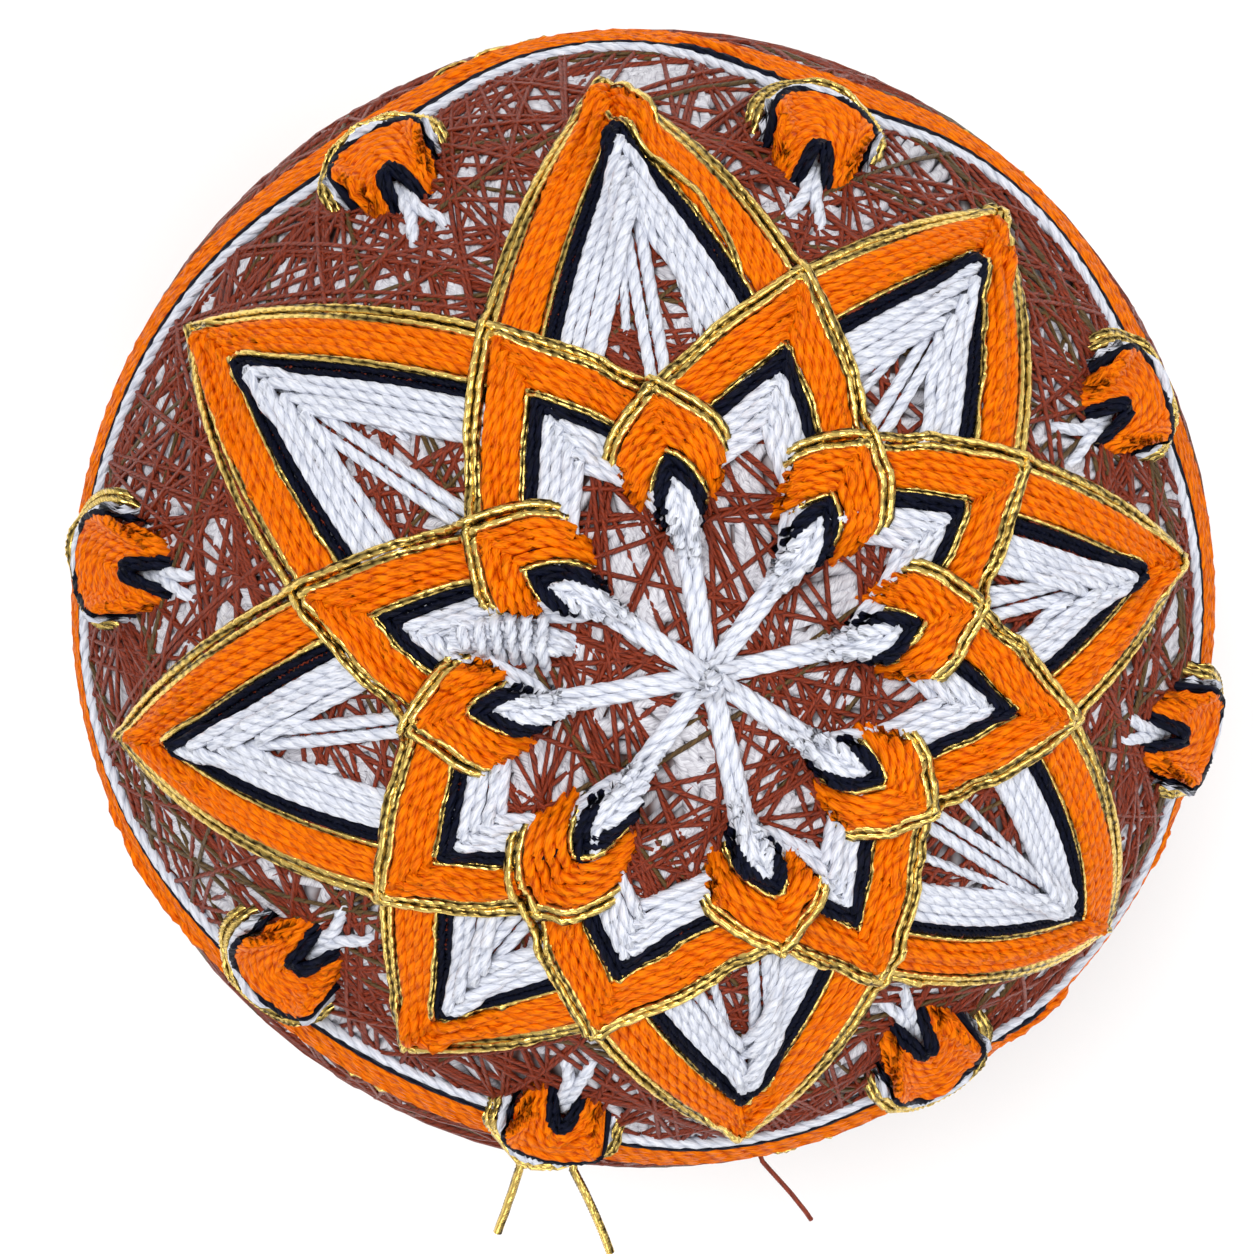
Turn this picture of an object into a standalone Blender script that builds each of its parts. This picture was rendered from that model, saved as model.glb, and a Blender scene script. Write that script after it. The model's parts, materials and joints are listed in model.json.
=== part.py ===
"""Temari ball: a wound thread ball with an embroidered eight-petal star on each pole.

The ball is one closed solid of its wound form. The stitched bands, the loops where they turn, and
the spokes of guide thread stand up from it as raised forms. Three short thread ends leave its rim.
+Z runs up through the star's pole, and the origin is the middle of the flat spot it rests on.
"""

import math

import bmesh
import bpy
from mathutils import Vector

MM = 0.001

# Driving dimensions
BALL_RADIUS = 39.2 * MM      # wound ball, under the embroidery
CENTRE_HEIGHT = 38.3 * MM    # ball's centre above the flat spot
MERIDIANS = 96               # divisions of the ball's mesh round the pole
PARALLELS = 50               # divisions from pole to pole

BAND_HALF_WIDTH = 3.9 * MM   # star band: thirteen rows of thread side by side
BAND_HEIGHT = 0.75 * MM
PILE_HALF_WIDTH = 3.4 * MM   # heap of threads where a star band turns near the pole
PILE_HEIGHT = 0.7 * MM
SPOKE_HALF_WIDTH = 0.9 * MM  # doubled guide thread
SPOKE_HEIGHT = 0.6 * MM
SPOKE_END_DEG = 12.0
EDGE_WIDTH = 1.3 * MM        # slope at the side of every raised form
RELIEF_LIMIT = 1.5 * MM      # threads sink into each other where bands cross

LOOP_CENTRE_DEG = 19.0       # middle of a star band where it turns, from the pole
TIP_INSET_DEG = 6.5          # from a petal's tip to the middle of its band

RIM_HALF_WIDTH = 2.9 * MM    # zigzag stripe round the ball, outside the petals
RIM_HEIGHT = 0.7 * MM
RIM_PILE_HALF_WIDTH = 3.8 * MM
RIM_PILE_HEIGHT = 0.9 * MM
HEAP_HALF_LENGTH_DEG = 2.5

GOLD_END_RADIUS = 0.25 * MM
BROWN_END_RADIUS = 0.20 * MM
END_POINTS = 9
CLEARANCE = 0.3 * MM         # between touching solids

# Petals of the upper star: direction round the pole, and the tip's angle from the pole
UPPER_PETALS = (
    {"azimuth": 98.0, "tip": 64.0},
    {"azimuth": 53.0, "tip": 60.5},
    {"azimuth": 10.0, "tip": 58.0},
    {"azimuth": 325.5, "tip": 67.5},
    {"azimuth": 281.0, "tip": 58.0},
    {"azimuth": 235.5, "tip": 52.0},
    {"azimuth": 191.5, "tip": 68.5},
    {"azimuth": 147.0, "tip": 68.5},
)
# Herringbone heaps between the petals, where the stripe passes each, and its corner at the petal
# that follows clockwise: angles from the pole to the middle of the heap and of the stripe
UPPER_RIM = (
    {"azimuth": 121.5, "heap": 64.5, "stripe": 68.0, "corner": 79.5},
    {"azimuth": 74.6, "heap": 58.5, "stripe": 63.5, "corner": 71.5},
    {"azimuth": 27.8, "heap": 57.5, "stripe": 61.0, "corner": 65.0},
    {"azimuth": 348.5, "heap": 61.5, "stripe": 62.5, "corner": 74.0},
    {"azimuth": 300.6, "heap": 55.0, "stripe": 58.5, "corner": 62.0},
    {"azimuth": 255.5, "heap": 56.0, "stripe": 57.0, "corner": 59.5},
    {"azimuth": 219.0, "heap": 57.5, "stripe": 64.5, "corner": 79.0},
    {"azimuth": 172.5, "heap": 67.5, "stripe": 77.0, "corner": 76.0},
)
LOWER_TIP = 62.0
LOWER_RIM = {"heap": 58.5, "stripe": 63.0, "corner": 71.0}

# Loose ends: where each leaves the rim, its length, and how it bends round the ball and droops
LOOSE_ENDS = (
    {"name": "gold_end_left", "azimuth": -104.2, "angle": 75.5, "length": 6.3 * MM,
     "sweep": -3.0, "droop": 1.2 * MM, "radius": GOLD_END_RADIUS},
    {"name": "gold_end_right", "azimuth": -99.5, "angle": 74.5, "length": 7.8 * MM,
     "sweep": 38.0, "droop": 1.5 * MM, "radius": GOLD_END_RADIUS},
    {"name": "brown_end", "azimuth": -80.0, "angle": 73.0, "length": 6.6 * MM,
     "sweep": 34.0, "droop": 1.4 * MM, "radius": BROWN_END_RADIUS},
)

YARN_FINISHES = {
    "mari": {"colour": (0.52, 0.33, 0.27, 1.0), "roughness": 0.8, "metallic": 0.0},
    "gold_cord": {"colour": (0.62, 0.42, 0.10, 1.0), "roughness": 0.35, "metallic": 0.9},
    "brown_thread": {"colour": (0.20, 0.05, 0.03, 1.0), "roughness": 0.6, "metallic": 0.0},
}


def clear_scene():
    for item in list(bpy.data.objects):
        bpy.data.objects.remove(item, do_unlink=True)


def yarn_material(name):
    """Principled material of one yarn, made once."""
    material = bpy.data.materials.get(name)
    if material:
        return material
    finish = YARN_FINISHES[name]
    material = bpy.data.materials.new(name)
    material.use_nodes = True
    shader = material.node_tree.nodes["Principled BSDF"]
    shader.inputs["Base Color"].default_value = finish["colour"]
    shader.inputs["Roughness"].default_value = finish["roughness"]
    shader.inputs["Metallic"].default_value = finish["metallic"]
    return material


def direction(azimuth_deg, angle_deg):
    """Unit vector at an azimuth round +Z and an angle from +Z."""
    azimuth = math.radians(azimuth_deg)
    angle = math.radians(angle_deg)
    flat = math.sin(angle)
    return Vector((flat * math.cos(azimuth), flat * math.sin(azimuth), math.cos(angle)))


def mirrored(azimuth_deg, angle_deg):
    """The same place measured from the lower pole."""
    return direction(azimuth_deg, 180.0 - angle_deg)


def arc_gap(point, start, end):
    """Distance along the ball from a point to the arc between two directions."""
    normal = start.cross(end).normalized()
    beside_start = normal.cross(start).dot(point)
    beside_end = end.cross(normal).dot(point)
    if beside_start > 0.0 and beside_end > 0.0:
        return abs(math.asin(max(-1.0, min(1.0, point.dot(normal))))) * BALL_RADIUS
    return min(point.angle(start), point.angle(end)) * BALL_RADIUS


def raised(gap, half_width, height):
    """Height of a rounded band at a distance from its middle line."""
    share = (half_width - gap) / EDGE_WIDTH
    share = max(0.0, min(1.0, share))
    return height * share * share * (3.0 - 2.0 * share)


def star_forms(place, petals):
    """Arms, heaps and spokes of one star, as (start, end, half width, height)."""
    forms = []
    count = len(petals)
    for index, petal in enumerate(petals):
        loop = place(petal["azimuth"], LOOP_CENTRE_DEG)
        for side in (-1, 1):
            neighbour = petals[(index + side) % count]
            tip = place(neighbour["azimuth"], neighbour["tip"] - TIP_INSET_DEG)
            forms.append((loop, tip, BAND_HALF_WIDTH, BAND_HEIGHT))
        heap_end = place(petal["azimuth"], LOOP_CENTRE_DEG + 1.5)
        forms.append((loop, heap_end, PILE_HALF_WIDTH, PILE_HEIGHT))
        spoke_start = place(petal["azimuth"], 0.5)
        spoke_end = place(petal["azimuth"], SPOKE_END_DEG)
        forms.append((spoke_start, spoke_end, SPOKE_HALF_WIDTH, SPOKE_HEIGHT))
    return forms


def rim_forms(place, rim, corner_azimuths):
    """Stripe and heaps outside one star's petals, as (start, end, half width, height)."""
    forms = []
    count = len(rim)
    for index, row in enumerate(rim):
        heap = place(row["azimuth"], row["heap"] - HEAP_HALF_LENGTH_DEG)
        heap_end = place(row["azimuth"], row["heap"] + HEAP_HALF_LENGTH_DEG)
        forms.append((heap, heap_end, RIM_PILE_HALF_WIDTH, RIM_PILE_HEIGHT))
        following = rim[(index + 1) % count]
        corner = place(corner_azimuths[index], row["corner"])
        for end in (row, following):
            passing = place(end["azimuth"], end["stripe"])
            forms.append((passing, corner, RIM_HALF_WIDTH, RIM_HEIGHT))
    return forms


def embroidery_forms():
    """Every raised form on the ball. Guide threads run from pole to pole, so both stars share them."""
    azimuths = [petal["azimuth"] for petal in UPPER_PETALS]
    lower_petals = [{"azimuth": azimuth, "tip": LOWER_TIP} for azimuth in azimuths]
    lower_rim = [dict(row, **LOWER_RIM) for row in UPPER_RIM]
    forms = star_forms(direction, UPPER_PETALS)
    forms += rim_forms(direction, UPPER_RIM, azimuths)
    forms += star_forms(mirrored, lower_petals)
    forms += rim_forms(mirrored, lower_rim, azimuths)
    return forms


def relief(point, forms):
    """Height of the embroidery over the wound ball in one direction."""
    heights = [raised(arc_gap(point, a, b), width, height) for a, b, width, height in forms]
    heights.sort(reverse=True)
    return min(RELIEF_LIMIT, heights[0] + 0.7 * heights[1] + 0.4 * heights[2])


def ball_point(azimuth_deg, angle_deg, forms):
    """Point of the ball's surface, flattened where the ball rests."""
    outward = direction(azimuth_deg, angle_deg)
    point = outward * (BALL_RADIUS + relief(outward, forms))
    point.z = max(0.0, point.z + CENTRE_HEIGHT)
    return point


def finish_object(name, data, material):
    item = bpy.data.objects.new(name, data)
    item.data.materials.append(yarn_material(material))
    bpy.context.scene.collection.objects.link(item)
    return item


def make_ball(forms):
    """The wound and embroidered ball as one closed mesh of rings between two poles."""
    mesh = bpy.data.meshes.new("mari")
    builder = bmesh.new()
    top = builder.verts.new(ball_point(0.0, 0.0, forms))
    rings = []
    for row in range(1, PARALLELS):
        angle = 180.0 * row / PARALLELS
        ring = [
            builder.verts.new(ball_point(360.0 * column / MERIDIANS, angle, forms))
            for column in range(MERIDIANS)
        ]
        rings.append(ring)
    bottom = builder.verts.new(ball_point(0.0, 180.0, forms))
    for column in range(MERIDIANS):
        following = (column + 1) % MERIDIANS
        builder.faces.new((top, rings[0][column], rings[0][following]))
        for upper, lower in zip(rings, rings[1:]):
            builder.faces.new((upper[column], lower[column], lower[following], upper[following]))
        builder.faces.new((rings[-1][column], bottom, rings[-1][following]))
    bmesh.ops.triangulate(builder, faces=builder.faces)
    bmesh.ops.recalc_face_normals(builder, faces=builder.faces)
    builder.to_mesh(mesh)
    builder.free()
    mesh.shade_smooth()
    return finish_object("mari", mesh, "mari")


def make_loose_end(row, material, forms):
    """A short cut thread that leaves the rim outwards, bends a little and droops."""
    outward = direction(row["azimuth"], row["angle"])
    level = Vector((outward.x, outward.y, 0.0)).normalized()
    sideways = Vector((-level.y, level.x, 0.0))
    start = outward * (BALL_RADIUS + relief(outward, forms) + CLEARANCE)
    start.z += CENTRE_HEIGHT
    curve = bpy.data.curves.new(row["name"], "CURVE")
    curve.dimensions = "3D"
    curve.bevel_depth = row["radius"]
    curve.bevel_resolution = 2
    curve.use_fill_caps = True
    spline = curve.splines.new("POLY")
    spline.points.add(END_POINTS - 1)
    step = row["length"] / (END_POINTS - 1)
    place = start.copy()
    for index, point in enumerate(spline.points):
        share = index / (END_POINTS - 1)
        point.co = (place.x, place.y, place.z, 1.0)
        turn = math.radians(row["sweep"]) * (1.0 - 0.3 * share)
        heading = level * math.cos(turn) + sideways * math.sin(turn)
        heading.z = -2.0 * share * row["droop"] / row["length"]
        place = place + heading.normalized() * step
    return finish_object(row["name"], curve, material)


def main():
    clear_scene()
    forms = embroidery_forms()
    make_ball(forms)
    for row in LOOSE_ENDS:
        material = "gold_cord" if row["radius"] == GOLD_END_RADIUS else "brown_thread"
        make_loose_end(row, material, forms)


main()
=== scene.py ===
"""Temari ball: every visible thread laid over the wound ball, in the order it is stitched."""

import json
import math

import bpy
import numpy as np
from bpy.props import FloatProperty, FloatVectorProperty, IntProperty, PointerProperty
from bpy.types import Operator, Panel, PropertyGroup
from mathutils import Matrix, Vector

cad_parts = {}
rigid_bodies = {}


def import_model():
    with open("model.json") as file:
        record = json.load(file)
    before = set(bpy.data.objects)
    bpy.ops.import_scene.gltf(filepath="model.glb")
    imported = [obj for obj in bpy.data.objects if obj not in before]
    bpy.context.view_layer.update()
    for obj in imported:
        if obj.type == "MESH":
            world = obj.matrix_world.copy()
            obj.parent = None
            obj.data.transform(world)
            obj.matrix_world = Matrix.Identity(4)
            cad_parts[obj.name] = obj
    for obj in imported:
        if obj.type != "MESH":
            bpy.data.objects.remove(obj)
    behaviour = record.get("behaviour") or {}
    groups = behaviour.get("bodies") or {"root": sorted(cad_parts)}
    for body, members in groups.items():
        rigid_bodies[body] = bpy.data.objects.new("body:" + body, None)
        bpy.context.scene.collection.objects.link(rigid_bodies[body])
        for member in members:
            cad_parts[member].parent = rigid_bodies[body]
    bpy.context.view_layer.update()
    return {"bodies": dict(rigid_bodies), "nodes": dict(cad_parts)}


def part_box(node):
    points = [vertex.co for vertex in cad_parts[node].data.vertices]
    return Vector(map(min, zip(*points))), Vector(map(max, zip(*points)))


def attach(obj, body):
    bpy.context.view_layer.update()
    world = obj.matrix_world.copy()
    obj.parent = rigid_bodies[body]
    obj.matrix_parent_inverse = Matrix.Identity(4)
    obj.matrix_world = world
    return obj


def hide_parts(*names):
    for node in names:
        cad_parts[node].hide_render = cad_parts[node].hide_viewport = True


bl_info = {
    "name": "Temari ball",
    "version": (1, 0, 0),
    "blender": (4, 5, 0),
    "location": "3D View > Sidebar > Temari",
    "description": "Winds a mari and stitches its herringbone stars and rim bands thread by thread",
    "category": "Add Mesh",
}

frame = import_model()
BODY = next(iter(frame["bodies"]))
MM = 0.001

MARI_LOW, MARI_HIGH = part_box("mari")
MIDDLE_X = (MARI_LOW.x + MARI_HIGH.x) / 2
MIDDLE_Y = (MARI_LOW.y + MARI_HIGH.y) / 2

def table(names, *rows):
    """Rows of values, each value under its column's name."""
    return [dict(zip(names.split(), row)) for row in rows]


# Lines that divide the ball. Azimuths of each petal's tip and of its inner loop, in degrees; how far the
# petal's sides bow out, in millimetres; then angles from the pole: the gold tip, the tip of the white,
# and the same two at the inner loop
UPPER_LINES = table(
    "tip_at loop_at bow gold_tip white_tip gold_loop white_loop",
    (97.0, 99.5, 1.6, 64.2, 53.2, 26.1, 16.4),
    (52.5, 53.5, 1.2, 60.6, 48.1, 25.9, 15.8),
    (8.5, 12.0, 1.2, 58.2, 45.5, 25.9, 16.7),
    (325.0, 326.5, 1.3, 67.7, 46.5, 24.7, 15.2),
    (277.5, 285.0, 1.3, 57.9, 43.9, 26.4, 18.1),
    (235.5, 234.5, 1.0, 51.8, 41.1, 27.6, 16.0),
    (191.0, 190.0, 1.2, 68.6, 53.6, 27.0, 17.9),
    (147.5, 147.5, 0.9, 68.8, 53.6, 24.8, 15.4),
)
# The lower star is finished plainly, with one size for all its petals
LOWER_TIPS = {"bow": 1.2, "gold_tip": 62.0, "white_tip": 48.5, "gold_loop": 26.1, "white_loop": 16.4}

# Rim band. Azimuth of each loop, then angles from the pole: its navy end and its outer orange end, where
# the stripe's white thread passes under it, and the stripe's corner at the petal that follows clockwise
UPPER_RIM = table(
    "at inner outer stripe corner",
    (121.5, 58.3, 65.6, 65.0, 76.5),
    (74.6, 52.3, 60.6, 61.0, 68.5),
    (27.8, 50.8, 59.1, 59.0, 61.5),
    (348.5, 54.6, 63.6, 59.5, 71.5),
    (300.6, 47.8, 57.6, 55.5, 59.0),
    (255.5, 50.9, 56.6, 53.5, 56.0),
    (219.0, 50.6, 59.6, 61.0, 76.5),
    (172.5, 59.9, 71.1, 75.0, 73.5),
)
LOWER_RIM = {"inner": 52.7, "outer": 61.3, "stripe": 60.0, "corner": 68.0}

# Rows of the star, in stitching order: how far each loop's legs spread and reach, in millimetres
STAR_ROWS = table(
    "yarn spread reach",
    ("white", 0.3, 2.6),
    ("white", 0.42, 2.8),
    ("white", 0.54, 3.0),
    ("white", 0.7, 3.1),
    ("navy", 1.05, 3.2),
    ("navy", 1.35, 3.2),
    ("thin_gold", 1.65, 2.9),
    ("orange", 2.2, 3.5),
    ("orange", 2.55, 3.7),
    ("orange", 2.8, 3.8),
    ("orange", 3.05, 3.9),
    ("gold", 3.5, 4.1),
    ("gold", 3.8, 4.3),
)
WHITE_ROWS = 4
# Petals in the order they are stitched: one set of four, then the set between them
PETAL_ORDER = (0, 2, 4, 6, 1, 3, 5, 7)
# Room that one row takes in a band, in millimetres: soft cotton packs closer than its thickness
ROW_ROOM = {"white": 0.7, "navy": 0.57, "thin_gold": 0.45, "orange": 0.64, "gold": 0.68}
# How flat a thread's section is: two plies lie side by side, and a cord is round
FLATNESS = {"white": 0.86, "navy": 0.88, "orange": 0.84, "gold": 1.0}
# Threads of the rim's stripe, from the pole side outwards
STRIPE_ROWS = ("white", *["navy"] * 2, *["orange"] * 6, "thin_gold")
# Rows of a rim loop. Their places and legs are shares of its length, from its inner to its outer end,
# their half widths are in millimetres, and their roundness is 0 for a pointed row and 1 for an arc
HEAP_ROWS = table(
    "yarn place spread legs roundness",
    ("navy", 0.0, 0.74, 0.44, 0.1),
    ("navy", 0.1, 1.15, 0.5, 0.2),
    ("orange", 0.22, 1.49, 0.56, 0.3),
    ("orange", 0.35, 1.82, 0.62, 0.5),
    ("orange", 0.48, 2.06, 0.69, 0.7),
    ("orange", 0.61, 2.25, 0.76, 0.8),
    ("orange", 0.74, 2.43, 0.83, 0.9),
    ("orange", 0.88, 2.54, 0.9, 1.0),
    ("orange", 1.0, 2.69, 0.96, 1.0),
    ("navy", 1.1, 3.04, 0.96, 1.0),
    ("white", 1.2, 3.4, 0.96, 1.0),
    ("gold", 1.3, 3.91, 0.9, 1.0),
    ("gold", 1.38, 4.32, 0.84, 1.0),
)
# How far the ends of an orange row curl in again, past a half circle's, in degrees
HEAP_CURL = 28

# Odd stitches, through points given by azimuth and angle from the pole: a gold thread that strays over
# the first petal, and a bundle of three threads whipped with white between two edges
STRAY_GOLD = ((98.5, 57.5), (95.0, 51.5), (88.8, 45.3), (85.2, 40.0), (82.7, 36.0))
REPAIR_BUNDLE = ((172.0, 23.0), (168.5, 17.5), (167.0, 11.5))
REPAIR_EDGES = (((166.5, 21.5), (157.0, 15.2)), ((176.0, 20.4), (180.0, 14.0)))
REPAIR_WRAPS = 6
REPAIR_SPREAD = 2.6


# ---------------------------------------------------------------- sizes and colours


def length_property(name, millimetres, what):
    return FloatProperty(
        name=name, description=what, default=millimetres * MM, unit="LENGTH", subtype="DISTANCE",
    )


class BallSizes(PropertyGroup):
    radius: length_property("Ball radius", 39.2, "Wound ball, under the embroidery")
    flattening: length_property("Flattening", 0.9, "How far the ball's own weight presses it down")
    white_turns: IntProperty(
        name="White turns", description="Turns of white yarn that show on the wound ball", default=216,
    )
    brown_turns: IntProperty(
        name="Brown turns", description="Turns of rust-brown thread wound over the white", default=262,
    )
    seed: IntProperty(name="Seed", description="Starts every random choice", default=8)


class YarnSizes(PropertyGroup):
    white: length_property("White", 0.84, "Thickness of the white cotton")
    navy: length_property("Navy", 0.66, "Thickness of the navy cotton")
    orange: length_property("Orange", 0.82, "Thickness of the orange cotton")
    gold: length_property("Gold", 0.64, "Thickness of the gold cord")
    thin_gold: length_property("Thin gold", 0.48, "Thickness of the inner gold cord")
    brown: length_property("Brown", 0.34, "Thickness of the rust-brown thread")
    wound: length_property("Wound yarn", 0.86, "Thickness of the ball's own white yarn")


def linear(code):
    """Linear colour of an sRGB hex value."""
    parts = [int(code[i:i + 2], 16) / 255 for i in (1, 3, 5)]
    return tuple(p / 12.92 if p <= 0.04045 else ((p + 0.055) / 1.055) ** 2.4 for p in parts)


def colour_property(name, code, what):
    return FloatVectorProperty(
        name=name, description=what, subtype="COLOR", size=3, min=0, max=1, default=linear(code),
    )


class YarnColours(PropertyGroup):
    white: colour_property("White", "#E3E5ED", "Cool white cotton")
    navy: colour_property("Navy", "#0E1226", "Navy cotton, nearly black")
    orange: colour_property("Orange", "#F77E00", "Bright orange cotton")
    gold: colour_property("Gold", "#F2CF72", "Metallic gold cord")
    brown: colour_property("Brown", "#98391B", "Rust-brown thread")
    olive: colour_property("Olive-brown", "#6B5028", "Olive-brown thread among the rust-brown")
    wound: colour_property("Wound yarn", "#DDDCE1", "White yarn of the ball")


# ---------------------------------------------------------------- places on the ball


def heading(azimuth, angle):
    """Unit vectors at azimuths round the pole and angles from it, in degrees."""
    a, t = np.radians(azimuth), np.radians(angle)
    flat = np.sin(t)
    return np.stack([flat * np.cos(a), flat * np.sin(a), np.cos(t) + 0 * a], axis=-1)


def unit(rows):
    return rows / np.linalg.norm(rows, axis=-1, keepdims=True)


def beside(azimuth, across, along, radius):
    """Unit vectors beside a line: across it, and along it from the pole, both as lengths."""
    on_line = heading(azimuth, np.degrees(along / radius))
    a = math.radians(azimuth)
    sideways = np.array([-math.sin(a), math.cos(a), 0.0])
    turn = np.asarray(across) / radius
    return on_line * np.cos(turn)[..., None] + sideways * np.sin(turn)[..., None]


def bezier(start, pull, end, count):
    t = np.linspace(0, 1, count)[:, None]
    start, pull, end = (np.array(p, float) for p in (start, pull, end))
    return (1 - t) ** 2 * start + 2 * t * (1 - t) * pull + t ** 2 * end


def respaced(way, radius, gap):
    """The same path over the unit ball with its points an even distance apart."""
    steps = np.linalg.norm(np.diff(way, axis=0), axis=1) * radius
    reach = np.concatenate([[0], np.cumsum(steps)])
    keep = np.concatenate([[True], steps > 1e-9])
    reach, way = reach[keep], way[keep]
    count = max(3, int(reach[-1] / gap) + 1)
    at = np.linspace(0, reach[-1], count)
    return unit(np.stack([np.interp(at, reach, way[:, i]) for i in range(3)], axis=1))


LAYING_STEP = 0.13 * MM
# Threads pile up freely to the first height, press into one another above it, and never pass the second
PILE_FREE = 1.1 * MM
PILE_LIMIT = 3.1 * MM
# Length over which a thread's end dives into the ball
DIVE = 0.9 * MM
# Under the ball the embroidery is pressed between it and the table: how far the wound turns give way,
# and how far above the table the first threads stay, with the last rows lowest
FLAT_DEPTH = 1.9 * MM
FLAT_LAYERS = 0.45 * MM
# How high the crossed legs under a rim loop raise its middle
HEAP_PAD = 1.35 * MM
# Bed that the operators share, from the winding of the ball on
STITCHING = {}


class Bed:
    """How high the threads laid so far stand, all over the ball, in six square patches."""

    CELLS = 440

    def __init__(self, radius, centre):
        self.radius = radius
        self.centre = np.array(centre)
        self.top = np.full(6 * self.CELLS ** 2, radius, np.float32)
        self.lift = 0.0
        self.ways = self.cell_ways()

    def cell(self, way):
        """The patch cells that a path passes over."""
        axis = np.argmax(np.abs(way), axis=1)
        row = np.arange(len(way))
        major = way[row, axis]
        found = axis * 2 + (major < 0)
        for step in (1, 2):
            angle = np.arctan(way[row, (axis + step) % 3] / np.abs(major))
            place = ((angle * 4 / np.pi + 1) / 2 * self.CELLS).astype(int)
            found = found * self.CELLS + np.clip(place, 0, self.CELLS - 1)
        return found

    def cell_ways(self):
        """Unit vector through the middle of every cell."""
        steps = np.tan(((np.arange(self.CELLS) + 0.5) / self.CELLS * 2 - 1) * np.pi / 4)
        across, down = np.meshgrid(steps, steps, indexing="ij")
        ways = np.empty((6, self.CELLS ** 2, 3))
        for patch in range(6):
            axis = patch // 2
            ways[patch, :, axis] = -1.0 if patch % 2 else 1.0
            ways[patch, :, (axis + 1) % 3] = across.ravel()
            ways[patch, :, (axis + 2) % 3] = down.ravel()
        return unit(ways.reshape(-1, 3))

    def pad(self, azimuth, angle, half_along, half_across, height, flip):
        """Raises an oval on a line, where the legs of many stitches cross unseen under the next ones."""
        middle = lower(heading(azimuth, angle), flip)
        sideways = beside(azimuth, np.array([math.pi / 2 * self.radius]), np.array([0.0]), self.radius)[0]
        onward = np.cross(sideways, middle)
        x = self.ways @ sideways * self.radius / half_across
        y = self.ways @ onward * self.radius / half_along
        dome = np.clip(1 - x * x - y * y, 0, 1) ** 0.6
        self.top += np.where(self.ways @ middle > 0, height * dome, 0).astype(np.float32)

    def lay(self, way, thickness, dives=(True, True), slack=10, sink=0.62):
        """Lays a thread over what is there, pulled taut, and returns its centre line. An end that
        dives goes down into the ball, and sink is how round the thread's top is to the next one."""
        half = thickness / 2
        way = respaced(way, self.radius, LAYING_STEP)
        ahead = np.gradient(way, axis=0)
        side = unit(np.cross(ahead, way))
        under = np.zeros(len(way))
        for share in (-0.25, 0.0, 0.25):
            probe = unit(way + side * (share * half / self.radius))
            under = np.maximum(under, self.top[self.cell(probe)])
        height = under + half * sink
        for _ in range(slack):
            level = (np.roll(height, 1) + np.roll(height, -1)) / 2
            level[0], level[-1] = height[0], height[-1]
            height = np.maximum(height, level)
        for _ in range(3):
            padded = np.pad(height, 1, mode="edge")
            height = (padded[:-2] + padded[1:-1] + padded[2:]) / 3
        from_end = np.arange(len(way)) * LAYING_STEP
        for wanted, distance in zip(dives, (from_end, from_end[::-1])):
            if wanted:
                share = np.clip(1 - distance / DIVE, 0, 1)
                deep = self.radius - 0.9 * half
                height = height + (deep - height) * share * share * (3 - 2 * share)
        for share in np.linspace(-0.62, 0.62, 2 * int(half / (0.2 * MM)) + 3):
            lift = half * sink * math.sqrt(1 - share * share)
            probe = unit(way + side * (share * half / self.radius))
            np.maximum.at(self.top, self.cell(probe), (height + lift).astype(np.float32))
        points = self.centre + way * self.pressed(height)[:, None]
        points[:, 2] = np.maximum(points[:, 2], half + self.lift)
        return points

    def strand(self, way, thickness, every, **how):
        """A laid thread as a strand to spin: every so many of its points, and its thickness."""
        return thinned(self.lay(way, thickness, **how), every), thickness

    def pressed(self, height):
        """Deep piles of thread press into the ball and into each other, in the same order."""
        rise = height - self.radius
        spare = PILE_LIMIT - PILE_FREE
        packed = PILE_FREE + spare * (1 - np.exp(-(np.maximum(rise, PILE_FREE) - PILE_FREE) / spare))
        return self.radius + np.where(rise > PILE_FREE, packed, rise)


# ---------------------------------------------------------------- yarn as geometry


def add_node(tree, kind, inputs=None, **settings):
    """Adds one node with its settings, and sets or links its inputs. A node given as an input stands
    for its first output."""
    node = tree.nodes.new(kind)
    for name, value in settings.items():
        setattr(node, name, value)
    for socket, value in (inputs or {}).items():
        if isinstance(value, bpy.types.Node):
            value = value.outputs[0]
        if isinstance(value, bpy.types.NodeSocket):
            tree.links.new(value, node.inputs[socket])
        else:
            node.inputs[socket].default_value = value
    return node


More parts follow.
